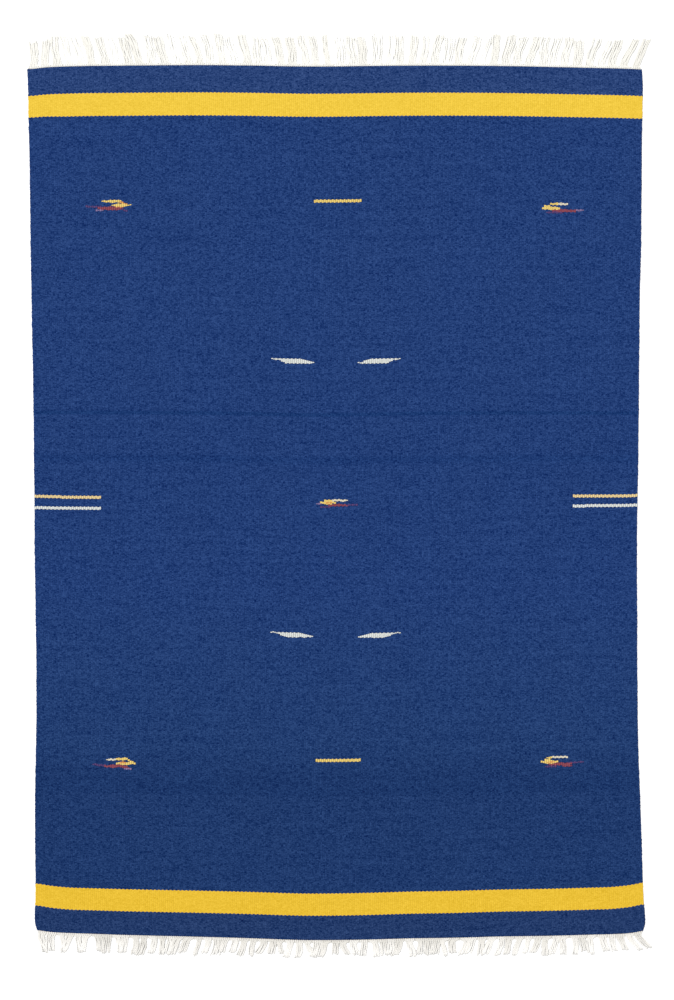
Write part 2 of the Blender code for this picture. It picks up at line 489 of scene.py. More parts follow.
def cotton_piece(
    name: str, tubes: Tubes, finish: bpy.types.Material, tones: object
) -> bpy.types.Object:
    """Makes a piece of undyed yarns.

    Args:
        name: the piece's name.
        tubes: its yarns.
        finish: its material.
        tones: the tone at each section, or one for all, from 0, white, to 1, natural.

    Returns:
        The finished piece.
    """
    piece = mesh_object(name, tubes.points(), tubes.faces(), finish)
    set_values(piece, YARN_PLACE, tubes.yarn_places())
    set_values(piece, YARN_TONE, tubes.spread(np.clip(tones, 0, 1)))
    return piece


def linear(shade: Sequence[float]) -> Shade:
    """Turns a colour as seen on a screen, 0 to 255, into the light that it stands for.

    Args:
        shade: red, green and blue from 0 to 255.

    Returns:
        Linear red, green and blue from 0 to 1.
    """
    seen = np.clip(np.asarray(shade, dtype=float) / 255, 0, 1)
    light = np.where(seen <= 0.04045, seen / 12.92, ((seen + 0.055) / 1.055) ** 2.4)
    return tuple(float(channel) for channel in light)


class Grain(NamedTuple):
    """One layer of noise in the wool: its weight in the heather, its swells to a warp and to a row
    of weft, whether each row has its own, where it starts, and how many finer layers it has."""

    weight: float
    to_warp: float
    to_row: float
    by_row: bool
    start: float
    detail: float


class NodeDesk:
    """Adds and joins the nodes of one material."""

    def __init__(self, name: str) -> None:
        """Starts an empty material that has its shader and output.

        Args:
            name: the material's name.
        """
        self.material = bpy.data.materials.new(name)
        self.material.use_nodes = True
        self.tree = self.material.node_tree
        self.shader = self.tree.nodes["Principled BSDF"]

    def add(self, kind: str, values: dict[str | int, object], **settings: object) -> bpy.types.Node:
        """Adds a node, and gives its inputs values or joins them to other nodes' outputs.

        Args:
            kind: the node's type.
            values: numbers, colours or output sockets, by the input's name or number.
            **settings: values for the node's own settings.

        Returns:
            The new node.
        """
        node = self.tree.nodes.new(kind)
        for setting, value in settings.items():
            setattr(node, setting, value)
        self.feed(node, values)
        return node

    def feed(self, node: bpy.types.Node, values: dict[str | int, object]) -> None:
        """Gives a node's inputs values, or joins them to other nodes' outputs.

        Args:
            node: the node.
            values: numbers, colours or output sockets, by the input's name or number.
        """
        for key, value in values.items():
            if isinstance(value, bpy.types.NodeSocket):
                self.tree.links.new(value, node.inputs[key])
            else:
                node.inputs[key].default_value = value

    def math(self, operation: str, *values: object) -> bpy.types.NodeSocket:
        """Works out a sum of numbers or sockets."""
        return self.add("ShaderNodeMath", dict(enumerate(values)), operation=operation).outputs[0]

    def times(self, first: object, second: object) -> bpy.types.NodeSocket:
        """Multiplies one number or socket by another."""
        return self.math("MULTIPLY", first, second)

    def weighted(self, *terms: tuple[float, object]) -> bpy.types.NodeSocket:
        """Adds up values by weight.

        Args:
            *terms: pairs of a weight and a socket.

        Returns:
            The sum's socket.
        """
        total: object = 0.0
        for weight, value in terms:
            total = self.math("MULTIPLY_ADD", value, weight, total)
        return total

    def vector(self, x: object, y: object, z: object) -> bpy.types.NodeSocket:
        """Joins three numbers or sockets into a vector."""
        return self.add("ShaderNodeCombineXYZ", {0: x, 1: y, 2: z}).outputs[0]

    def stored(self, name: str) -> Sequence[bpy.types.NodeSocket]:
        """Reads what is stored on the mesh under a name, as a colour, a vector and a number."""
        return self.add("ShaderNodeAttribute", {}, attribute_name=name).outputs

    def stored_parts(self, name: str) -> Sequence[bpy.types.NodeSocket]:
        """Reads a vector that is stored on the mesh under a name, as its three numbers."""
        return self.add("ShaderNodeSeparateXYZ", {0: self.stored(name)["Vector"]}).outputs

    def mix(self, way: str, share: object, first: object, second: object) -> bpy.types.NodeSocket:
        """Blends two colours.

        Args:
            way: the kind of blend.
            share: how much of the second colour.
            first: first colour or socket.
            second: second colour or socket.

        Returns:
            The blend's socket.
        """
        node = self.add("ShaderNodeMix", {"Factor": share}, data_type="RGBA", blend_type=way)
        places = [at for at, socket in enumerate(node.inputs) if socket.type == "RGBA"]
        for place, value in zip(places, (first, second)):
            self.feed(node, {place: value if isinstance(value, bpy.types.NodeSocket) else (*value, 1.0)})
        return next(socket for socket in node.outputs if socket.type == "RGBA")

    def scaled(self, colour: object, amount: bpy.types.NodeSocket) -> bpy.types.NodeSocket:
        """Multiplies a colour by a number."""
        return self.mix("MULTIPLY", 1.0, colour, self.vector(amount, amount, amount))

    def speckle(self, vector: bpy.types.NodeSocket) -> bpy.types.NodeSocket:
        """Gives each whole-numbered place a value of its own from 0 to 1."""
        noise = self.add("ShaderNodeTexWhiteNoise", {"Vector": vector}, noise_dimensions="3D")
        return noise.outputs["Value"]

    def cloud(self, vector: bpy.types.NodeSocket, detail: float, scale: float = 1.0) -> bpy.types.NodeSocket:
        """Gives smooth noise from 0 to 1, with so many finer layers and swells to a unit."""
        values = {"Vector": vector, "Scale": scale, "Detail": detail}
        return self.add("ShaderNodeTexNoise", values, noise_dimensions="3D").outputs["Fac"]

    def surface(self, colour: object, height: object, depth: float, **looks: float) -> bpy.types.Material:
        """Joins colour and relief to the shader.

        Args:
            colour: the colour's socket.
            height: the relief's socket, from 0 to 1.
            depth: how deep the relief is, in metres.
            **looks: how matt the surface is, how strongly it mirrors light and how much fuzz it
                has, as roughness, gloss and sheen.

        Returns:
            The finished material.
        """
        bump = self.add("ShaderNodeBump", {"Strength": 1.0, "Distance": depth, "Height": height})
        names = {"roughness": "Roughness", "gloss": "Specular IOR Level", "sheen": "Sheen Weight"}
        self.feed(self.shader, {names[look]: value for look, value in looks.items()})
        fixed = {"Sheen Roughness": FUZZ_ROUGHNESS, "Normal": bump.outputs["Normal"]}
        self.feed(self.shader, {"Base Color": colour, **fixed})
        return self.material


class ShadeStop(NamedTuple):
    """The wool's shade as seen, 0 to 255, at one distance from the foot end, in metres."""

    along: float
    shade: Shade


class Band(NamedTuple):
    """A band of weft in a shade of its own: where it starts and ends, in metres along the weave, its
    shade, and how much darker than that its dark strands are."""

    start: float
    end: float
    shade: Shade
    heather: float


@dataclass(frozen=True)
class WoolFinish:
    """Dyed wool weft, packed over the warp, heathered from strand to strand."""

    name: str
    weave: Weave
    shade: Shade = (37.0, 63.0, 117.0)
    stops: tuple[ShadeStop, ...] = ()
    bands: tuple[Band, ...] = ()
    heather: float = 24.0
    dark_strand: float = 0.44
    bump_weight: float = 0.55
    strands: Grain = Grain(1.40, to_warp=1.4, to_row=7.3, by_row=True, start=2.0, detail=1.0)
    fibres: Grain = Grain(0.5, to_warp=2.6, to_row=1.1, by_row=False, start=0.0, detail=2.0)
    streaks: Grain = Grain(0.25, to_warp=0.02, to_row=0.18, by_row=True, start=3.0, detail=1.0)
    hairs: Grain = Grain(0.7, to_warp=1.6, to_row=9.0, by_row=False, start=5.0, detail=2.0)
    plies: int = 2
    twists_per_warp: float = 2.5
    strand_squareness: float = 4.0
    strand_relief: float = 0.50
    ply_relief: float = 0.25
    twist_relief: float = 0.05
    fibre_relief: float = 0.05
    hair_relief: float = 0.15
    # Painted shade: how much the hollows between ribs and between rows of weft are darkened in the colour.
    painted_shade: float = 0.20
    mean_relief: float = 0.68
    light: float = 1.375
    haze: float = 0.0035
    relief_depth: float = 0.26 * MM

    def lit(self, shade: Shade, change: float = 0.0) -> Shade:
        """Gives the wool's own colour for a shade as seen in the studio's light, or a changed one."""
        seen = linear([channel + change for channel in shade])
        return tuple(max(channel - self.haze, 0.0) / self.light for channel in seen)

    def liveliness(self, shade: Shade, heather: float) -> Shade:
        """Gives how strongly the strands differ round a shade, as shares of its own colour."""
        middle, dark = self.lit(shade), self.lit(shade, -heather)
        return tuple((mid - low) / (mid * self.dark_strand) for mid, low in zip(middle, dark))

    def ground(self, desk: NodeDesk, along: bpy.types.NodeSocket) -> tuple[object, object]:
        """Gives the mean colour of the wool, and how strongly its strands differ from that.

        Args:
            desk: the material's nodes.
            along: where each weft bump lies, as a share of the length.

        Returns:
            Two colours, or the sockets of them.
        """
        mean: object = self.lit(self.shade)
        strength: object = self.liveliness(self.shade, self.heather)
        if self.stops:
            node = desk.add("ShaderNodeValToRGB", {"Fac": along})
            marks = node.color_ramp.elements
            while len(marks) < len(self.stops):
                marks.new(1.0)
            for mark, stop in zip(marks, self.stops):
                mark.position = stop.along / self.weave.length
            for mark, stop in zip(marks, self.stops):
                mark.color = (*self.lit(stop.shade), 1.0)
            mean = node.outputs["Color"]
        for band in self.bands:
            above = desk.math("GREATER_THAN", along, band.start / self.weave.length)
            below = desk.math("LESS_THAN", along, band.end / self.weave.length)
            inside = desk.times(above, below)
            mean = desk.mix("MIX", inside, mean, self.lit(band.shade))
            strength = desk.mix("MIX", inside, strength, self.liveliness(band.shade, band.heather))
        return mean, strength

    def build(self) -> bpy.types.Material:
        """Makes the material.

        Returns:
            The finished material.
        """
        desk = NodeDesk(self.name)
        weave = self.weave
        place_across, place_along, _ = desk.stored_parts(WEAVE_PLACE)
        across = desk.math("DIVIDE", place_across, weave.warp_pitch)
        column = desk.math("FLOOR", across)
        odd = desk.math("FLOORED_MODULO", column, 2.0)
        rows = desk.math("DIVIDE", place_along, 2 * weave.pick_pitch)
        rows = desk.math("MULTIPLY_ADD", odd, 0.5, rows)
        row = desk.math("FLOOR", rows)
        middle = desk.math("SUBTRACT", desk.math("ADD", row, 0.5), desk.times(odd, 0.5))
        share = desk.times(middle, 2 / weave.picks)

        weights = [self.bump_weight]
        noises = [desk.speckle(desk.vector(column, row, 1.0))]
        for layer in (self.strands, self.fibres, self.streaks, self.hairs):
            x = desk.times(across, layer.to_warp)
            y = desk.times(row if layer.by_row else rows, layer.to_row)
            weights.append(layer.weight)
            noises.append(desk.cloud(desk.vector(x, y, layer.start), layer.detail))
        heather = desk.math("SUBTRACT", desk.weighted(*zip(weights, noises)), sum(weights) / 2)
        _, _, fibres, _, hairs = noises
        mean, strength = self.ground(desk, share)
        change = desk.mix("ADD", 1.0, desk.scaled(strength, heather), (1.0, 1.0, 1.0))
        colour = desk.mix("MULTIPLY", 1.0, mean, change)

        over_warp = desk.math("SINE", desk.times(desk.math("FRACT", across), math.pi))
        from_middle = desk.math("MULTIPLY_ADD", desk.math("FRACT", rows), 2.0, -1.0)
        from_middle = desk.math("ABSOLUTE", from_middle)
        bundle = desk.math("SUBTRACT", 1.0, desk.math("POWER", from_middle, self.strand_squareness))
        ply_turn = desk.times(rows, self.plies * math.pi)
        ply = desk.math("ABSOLUTE", desk.math("SINE", ply_turn))
        twist = desk.math("SINE", desk.math("MULTIPLY_ADD", across, self.twists_per_warp * TURN, ply_turn))
        body = desk.weighted(
            (self.strand_relief, bundle), (self.ply_relief, ply), (self.twist_relief, twist),
            (self.fibre_relief, fibres), (self.hair_relief, hairs),
        )
        relief = desk.times(desk.math("SQRT", over_warp), body)
        # Painted shade: the colour is darkened where the relief is low, in the hollows between ribs and
        # between rows of weft, and keeps its mean.
        shadow = desk.math("MULTIPLY_ADD", relief, self.painted_shade, 1 - self.mean_relief * self.painted_shade)
        colour = desk.scaled(colour, shadow)
        return desk.surface(colour, relief, self.relief_depth, roughness=1.0, gloss=0.06, sheen=0.01)


@dataclass(frozen=True)
class CottonFinish:
    """Undyed cotton yarn, matt, with fine fibres along its twist, from bleached to natural tone.

    Its two shades are given as seen, 0 to 255. Its fibres and its drift of shade have so many
    swells a metre, round the yarn and along it.
    """

    name: str
    bleached: Shade
    natural: Shade
    fibres_round: float = 3200.0
    fibres_along: float = 500.0
    drift_along: float = 60.0
    drift_start: float = 4.0
    fibre_shadow: float = 0.12
    drift_shadow: float = 0.10
    relief_depth: float = 0.06 * MM

    def build(self) -> bpy.types.Material:
        """Makes the material.

        Returns:
            The finished material.
        """
        desk = NodeDesk(self.name)
        x, y, run = desk.stored_parts(YARN_PLACE)
        tone = desk.stored(YARN_TONE)["Fac"]
        round_x, round_y = (desk.times(part, self.fibres_round) for part in (x, y))
        along, drifting = (
            desk.times(run, swells) for swells in (self.fibres_along, self.drift_along)
        )
        fibres = desk.cloud(desk.vector(round_x, round_y, along), detail=2.0)
        drift = desk.cloud(desk.vector(0.0, self.drift_start, drifting), detail=1.0)
        # Painted shade: the colour darkens with the fibres' relief, in the grooves between fibres, and the
        # drift adds a slow change of shade along each yarn.
        shadow = desk.weighted((self.fibre_shadow, fibres), (self.drift_shadow, drift))
        shadow = desk.math("ADD", shadow, 1 - (self.fibre_shadow + self.drift_shadow) / 2)
        colour = desk.mix("MIX", tone, linear(self.bleached), linear(self.natural))
        colour = desk.scaled(colour, shadow)
        return desk.surface(colour, fibres, self.relief_depth, roughness=1.0, gloss=0.1, sheen=0.5)


class Yarn(Enum):
    """The dyed yarns of the woven figures, by their shade as seen."""

    GOLD = (244.0, 214.0, 124.0)
    STRAW = (241.0, 215.0, 156.0)
    AMBER = (234.0, 166.0, 96.0)
    CREAM = (236.0, 227.0, 202.0)
    WHITE = (230.0, 233.0, 228.0)
    RUST = (148.0, 78.0, 92.0)
    PLUM = (94.0, 72.0, 122.0)
    LILAC = (138.0, 120.0, 162.0)


GOLD, STRAW, AMBER, CREAM, WHITE, RUST, PLUM, LILAC = Yarn


class Stroke(NamedTuple):
    """One run of a figure's yarn: its ends in warps and picks from the figure's middle, and how
    many picks deep it is at its start, middle and end."""

    yarn: Yarn
    warps: tuple[float, float]
    picks: tuple[float, float]
    deep: tuple[float, float, float]


class Figure(NamedTuple):
    """One woven figure: its middle in warps from the left and picks from the foot, and its strokes."""

    name: str
    warp: float
    pick: float
    strokes: tuple[Stroke, ...]


def lozenge(name: str, warp: float, pick: float, way: int) -> Figure:
    """Sets out one long white lozenge with slanting ends.

    Args:
        name: the figure's name.
        warp: its middle, in warps from the left.
        pick: its middle, in picks from the foot.
        way: 1 where its left end is the higher one, -1 where its right end is.

    Returns:
        The figure.
    """
    runs = (
        ((-11.0, -6.3), (4.6, 2.8), (1.6, 2.4, 4.0)),
        ((-6.3, -4.0), (2.4, 0.4), (4.6, 7.0, 9.0)),
        ((-4.0, 5.0), (-0.1, -0.4), (9.4, 10.0, 9.4)),
        ((5.0, 11.0), (-0.9, -3.6), (8.6, 5.4, 1.8)),
    )
    strokes = []
    for (start, end), picks, deep in runs:
        if way < 0:
            start, end, picks, deep = -end, -start, picks[::-1], deep[::-1]
        strokes.append(Stroke(WHITE, (start, end), picks, deep))
    return Figure(name, warp, pick, tuple(strokes))


FIGURES = (
    Figure("head_left_bird", 41.2, 1599.0, (
        Stroke(PLUM, (-13.1, -5.5), (-3.4, -4.8), (2.7, 3.7, 5.6)),
        Stroke(RUST, (-7.0, 5.5), (-7.8, -7.2), (3.5, 8.8, 7.0)),
        Stroke(LILAC, (-8.1, -4.6), (-11.6, -12.0), (3.1, 3.1, 3.1)),
        Stroke(PLUM, (4.6, 8.1), (-8.4, -13.8), (5.6, 4.4, 2.2)),
        Stroke(AMBER, (2.0, 4.6), (-4.4, -4.4), (2.9, 3.2, 2.9)),
        Stroke(GOLD, (-5.0, 5.0), (7.6, 8.0), (2.9, 5.6, 5.3)),
        Stroke(AMBER, (4.0, 7.3), (6.6, 1.4), (3.5, 3.8, 2.9)),
        Stroke(GOLD, (0.0, 9.3), (-0.8, -1.0), (2.1, 7.7, 2.1)),
    )),
    Figure("head_right_bird", 264.6, 1595.4, (
        Stroke(RUST, (-2.0, 10.6), (-6.4, -6.2), (4.2, 5.9, 4.6)),
        Stroke(LILAC, (10.6, 14.8), (-4.4, -5.0), (3.7, 3.4, 2.5)),
        Stroke(PLUM, (-5.0, 3.5), (-10.8, -10.0), (2.5, 3.7, 3.1)),
        Stroke(GOLD, (-3.0, 1.5), (7.6, 8.4), (2.9, 5.0, 5.0)),
        Stroke(CREAM, (1.5, 6.7), (8.4, 7.8), (5.3, 5.3, 3.4)),
        Stroke(GOLD, (-7.0, 2.6), (-1.4, -0.8), (2.4, 8.5, 3.2)),
        Stroke(GOLD, (-5.8, -2.2), (3.0, 3.2), (3.5, 5.3, 3.5)),
    )),
    Figure("middle_bird", 151.9, 952.4, (
        Stroke(RUST, (-2.0, 8.2), (-4.4, -5.0), (2.9, 5.3, 3.5)),
        Stroke(PLUM, (6.7, 13.3), (-4.0, -4.4), (3.4, 3.1, 2.5)),
        Stroke(PLUM, (-5.6, -1.0), (-8.8, -8.0), (2.5, 3.7, 2.5)),
        Stroke(LILAC, (-7.4, -5.3), (-1.6, -1.2), (2.5, 3.1, 3.4)),
        Stroke(GOLD, (-5.6, 1.8), (0.6, 0.6), (3.8, 7.4, 2.9)),
        Stroke(GOLD, (-4.1, 0.0), (5.4, 5.6), (2.9, 4.6, 3.5)),
        Stroke(AMBER, (-3.0, 0.5), (0.2, 0.2), (3.2, 3.5, 2.9)),
        Stroke(CREAM, (0.0, 8.4), (6.0, 5.2), (3.7, 3.7, 3.4)),
    )),
    Figure("foot_left_bird", 43.0, 376.0, (
        Stroke(PLUM, (-13.8, -7.1), (-4.4, -5.8), (3.4, 4.4, 4.4)),
        Stroke(RUST, (-8.2, 0.6), (-8.0, -5.6), (3.2, 6.7, 5.9)),
        Stroke(RUST, (0.0, 4.7), (-4.8, -10.4), (5.3, 5.0, 2.9)),
        Stroke(LILAC, (2.1, 6.0), (-12.0, -12.0), (2.5, 3.4, 2.5)),
        Stroke(CREAM, (-6.9, -1.0), (6.8, 8.4), (3.4, 3.7, 4.1)),
        Stroke(GOLD, (-1.5, 4.1), (8.4, 10.0), (4.2, 5.3, 3.8)),
        Stroke(GOLD, (3.6, 7.1), (9.2, 1.4), (4.2, 4.2, 3.5)),
        Stroke(GOLD, (-2.0, 7.6), (-0.6, 0.4), (2.9, 7.0, 3.5)),
        Stroke(AMBER, (0.3, 3.0), (1.2, 1.2), (3.5, 4.6, 3.5)),
    )),
    Figure("foot_right_bird", 265.4, 380.2, (
        Stroke(PLUM, (6.7, 14.4), (-1.2, -0.4), (3.4, 3.1, 2.5)),
        Stroke(RUST, (-3.1, 8.2), (-4.2, -3.8), (4.2, 6.7, 3.8)),
        Stroke(RUST, (3.5, 8.1), (-7.4, -8.2), (2.9, 4.2, 3.2)),
        Stroke(PLUM, (-5.2, 1.0), (-9.0, -8.8), (2.5, 3.4, 2.5)),
        Stroke(GOLD, (-4.6, -1.0), (8.8, 12.4), (2.9, 3.8, 3.8)),
        Stroke(CREAM, (-1.5, 6.2), (12.0, 11.0), (4.1, 4.4, 3.7)),
        Stroke(GOLD, (-7.4, 1.2), (1.0, 0.8), (3.2, 7.7, 3.5)),
        Stroke(GOLD, (-5.8, -2.6), (5.8, 5.8), (3.2, 4.6, 3.5)),
        Stroke(AMBER, (-4.2, -0.6), (0.8, 0.8), (1.6, 3.0, 1.6)),
    )),
    Figure("head_bar", 154.7, 1610.4, (
        Stroke(GOLD, (-11.8, 11.8), (-0.4, -0.2), (6.0, 6.0, 6.0)),
    )),
    Figure("foot_bar", 154.5, 392.0, (
        Stroke(GOLD, (-11.4, 11.5), (-0.6, -0.8), (6.0, 6.0, 6.0)),
    )),
    lozenge("head_left_lozenge", 131.8, 1261.6, 1),
    lozenge("head_right_lozenge", 176.4, 1260.6, -1),
    lozenge("foot_left_lozenge", 131.1, 665.0, 1),
    lozenge("foot_right_lozenge", 175.8, 663.0, -1),
    Figure("left_lines", 17.0, 947.0, (
        Stroke(STRAW, (-16.8, 16.6), (11.6, 10.0), (6.0, 6.0, 6.0)),
        Stroke(WHITE, (-16.8, 16.5), (-13.2, -13.8), (6.0, 6.0, 6.0)),
    )),
    Figure("right_lines", 291.6, 954.6, (
        Stroke(STRAW, (-16.6, 16.8), (8.4, 9.0), (6.0, 6.0, 6.0)),
        Stroke(WHITE, (-16.5, 16.4), (-12.8, -11.6), (6.0, 6.0, 6.0)),
    )),
)

# The ground's shade along the rug, lighter at the head and darker towards the foot: partly the wool's own
# change of shade, and partly painted shade where the light falls off towards the foot.
GROUND = (
    ShadeStop(0.000, (38.0, 60.0, 105.0)),
    ShadeStop(0.060, (38.0, 60.0, 105.0)),
    ShadeStop(0.340, (31.0, 56.0, 104.0)),
    ShadeStop(0.380, (33.0, 58.0, 106.0)),
    ShadeStop(0.435, (36.0, 62.0, 111.0)),
    ShadeStop(0.690, (37.0, 63.0, 115.0)),
    ShadeStop(0.800, (37.0, 63.0, 117.0)),
    ShadeStop(1.085, (37.0, 63.0, 117.0)),
    ShadeStop(1.098, (31.0, 58.0, 112.0)),
    ShadeStop(1.110, (37.0, 63.0, 117.0)),
    ShadeStop(1.400, (38.0, 64.0, 118.0)),
    ShadeStop(1.880, (38.0, 64.0, 118.0)),
    ShadeStop(1.945, (44.0, 68.0, 119.0)),
    ShadeStop(2.000, (44.0, 68.0, 119.0)),
)

BANDS = (
    Band(0.0560, 0.1070, (234.0, 192.0, 58.0), 11.0),
    Band(0.1070, 0.3271, (34.0, 59.0, 107.0), 22.0),
    Band(1.1975, 1.2067, (30.0, 58.0, 111.0), 20.0),
    Band(1.8854, 1.9374, (241.0, 202.0, 69.0), 10.0),
)


class SheetPart(IntEnum):
    """The parts of the sheet, in the order of its faces: its two faces and the walls between them."""

    UPPER = 0
    UNDER = 1
    FOOT = 2
    HEAD = 3
    LEFT = 4
    RIGHT = 5


@dataclass(frozen=True)
class WovenCloth:
    """The cloth itself: one closed sheet with a rib for each warp end, on both faces.

    On its flat map, a square of side 1, the upper face takes the top, the under face the bottom,
    and the walls lie between them in strips of so many gutters up.
    """

    weave: Weave
    finish: WoolFinish
    rows: int = 28
    columns_per_rib: int = 4
    rounding: float = 1e-9
    roll_steps: tuple[float, ...] = (0.0, 0.12, 0.45, 1.0)
    tooth: float = 1.10 * MM
    map_upper: float = 0.88
    map_gutter: float = 0.004
    map_strips: tuple[float, ...] = (0.0, 0.0, 1.0, 2.5, 4.0, 4.0)
    map_strips_high: float = 6.0
    map_side: float = 0.49

    def along_steps(self) -> np.ndarray:
        """Spaces the sheet's rows along the weave, close together near its ends.

        Returns:
            Where each row lies, in metres from the foot.
        """
        length, roll = self.weave.length, self.weave.end_roll
        even = (1 - np.cos(np.linspace(0, math.pi, self.rows))) / 2 * length
        near_end = roll * np.array(self.roll_steps)
        inner = even[(even > 2 * roll) & (even < length - 2 * roll)]
        return np.concatenate((near_end, inner, length - near_end[::-1]))

    def build(self) -> bpy.types.Object:
        """Makes the cloth.

        Returns:
            The finished sheet.
        """
        weave = self.weave
        across_line = np.linspace(0, weave.width, weave.warps * self.columns_per_rib + 1)
        across, along = np.meshgrid(across_line, self.along_steps())
        x, y = weave.spot(across, along)
        turns = across_line / weave.warp_pitch
        raised = np.where(np.floor(turns - self.rounding) % 2 == 0, self.tooth, -self.tooth)
        y_shift = np.zeros_like(y)
        y_shift[[0, -1]] = -raised * np.abs(np.sin(math.pi * turns))
        points = [as_rows(x, y + y_shift, weave.face_height(face, across, along)) for face in Face]

        upper = np.arange(across.size).reshape(across.shape)
        under = upper + across.size
        quads = [
            as_rows(upper[:-1, :-1], upper[:-1, 1:], upper[1:, 1:], upper[1:, :-1]),
            as_rows(under[:-1, :-1], under[1:, :-1], under[1:, 1:], under[:-1, 1:]),
            as_rows(under[0, :-1], under[0, 1:], upper[0, 1:], upper[0, :-1]),
            as_rows(under[-1, 1:], under[-1, :-1], upper[-1, :-1], upper[-1, 1:]),
            as_rows(under[:-1, 0], upper[:-1, 0], upper[1:, 0], under[1:, 0]),
            as_rows(under[1:, -1], upper[1:, -1], upper[:-1, -1], under[:-1, -1]),
        ]
        faces = np.concatenate(quads)
        parts = np.repeat(list(SheetPart), [len(part) for part in quads])
        cloth = mesh_object("rug_cloth", np.concatenate(points), faces.tolist(), self.finish.build())
        set_values(cloth, WEAVE_PLACE, np.tile(weave.dyed_place(across, along + y_shift), (2, 1)))
        self.lay_map(cloth, as_rows(across / weave.width, along / weave.length), faces, parts)
        return cloth

    def lay_map(
        self, cloth: bpy.types.Object, shares: np.ndarray, faces: np.ndarray, parts: np.ndarray
    ) -> None:
        """Lays the sheet out flat on a square map.

        Args:
            cloth: the finished sheet.
            shares: each upper point's shares across and along the weave.
            faces: the sheet's faces, as point numbers.
            parts: the part of the sheet that each face is in.
        """
        corners = faces.ravel()
        part = np.repeat(parts, faces.shape[1])
        across, along = np.tile(shares, (2, 1))[corners].T
        under_top = 1 - self.map_upper - self.map_strips_high * self.map_gutter
        strip = under_top + np.array(self.map_strips)[part] * self.map_gutter
        on_upper_rim = corners < len(shares)
        u = np.where(part < SheetPart.LEFT, across, self.map_side * along)
        u = u + (1 - self.map_side) * (part == SheetPart.RIGHT)
        v = np.select(
            [part == SheetPart.UPPER, part == SheetPart.UNDER],
            [1 - self.map_upper + self.map_upper * along, under_top * along],
            strip + self.map_gutter * on_upper_rim,
        )
        layer = cloth.data.uv_layers.new(name="OFBake")
        layer.data.foreach_set("uv", as_rows(u, v).astype(np.float32).ravel())


@dataclass(frozen=True)
class Selvedge:
    """One side's edge: the weft turning back round a cord of warp, a small loop at a time.

    Its loops are pulled in and out one by one, in groups and in a slow wave, as shares of the jag.
    """

    weave: Weave
    side: Edge
    finish: bpy.types.Material
    radius: float = 1.9 * MM
    loop_swell: float = 0.55 * MM
    swell_unevenness: float = 0.3
    overlap: float = 1.3 * MM
    jag: float = 0.60 * MM
    loop_pull: float = 0.6
    group_pull: float = 0.6
    loops_per_group: int = 3
    slow_pull: float = 0.4
    slow_wave: Wave = Wave(37.0)
    rise: float = 0.15 * MM
    rise_wave: Wave = Wave(17.0)
    picks_per_loop: int = 4
    steps_per_loop: int = 5
    sides: int = 7
    dye_middle: float = 0.5
    dye_spread: float = 0.45

    def build(self) -> bpy.types.Object:
        """Makes the edge.

        Returns:
            The finished edge cord.
        """
        weave, outwards = self.weave, self.side.outwards
        sections = weave.picks // self.picks_per_loop * self.steps_per_loop + 1
        along = np.linspace(0, weave.length, sections)
        across = np.full(sections, self.side.share * weave.width)
        turn = along / (self.picks_per_loop * weave.pick_pitch)
        loop = np.floor(turn)
        bulge = np.sqrt(np.abs(np.sin(math.pi * turn)))
        x, y = weave.plan.place(across / weave.width, along / weave.length)
        pull = (
            self.loop_pull * uneven(loop) * bulge
            + self.group_pull * uneven(np.floor(loop / self.loops_per_group))
            + self.slow_pull * self.slow_wave.at(along, across)
        )
        x = x - outwards * self.overlap + outwards * self.jag * pull
        slack = 1 + self.swell_unevenness * uneven(loop + SECOND_DRAW)
        radius = self.radius - self.loop_swell * (1 - bulge) * slack
        middle = weave.thickness / 2 + self.rise * self.rise_wave.at(along, across)
        paths = as_rows(x, y, np.maximum(radius, middle))[None]
        tubes = Tubes(paths, radius[None], self.sides)
        name = f"{self.side.value}_selvedge"
        edge = mesh_object(name, tubes.points(), tubes.faces(), self.finish)
        turned = self.dye_middle * outwards + self.dye_spread * np.cos(tubes.angles)
        reach = across[:, None] + weave.warp_pitch * turned[None, :]
        set_values(edge, WEAVE_PLACE, weave.dyed_place(reach, along[:, None]))
        return edge


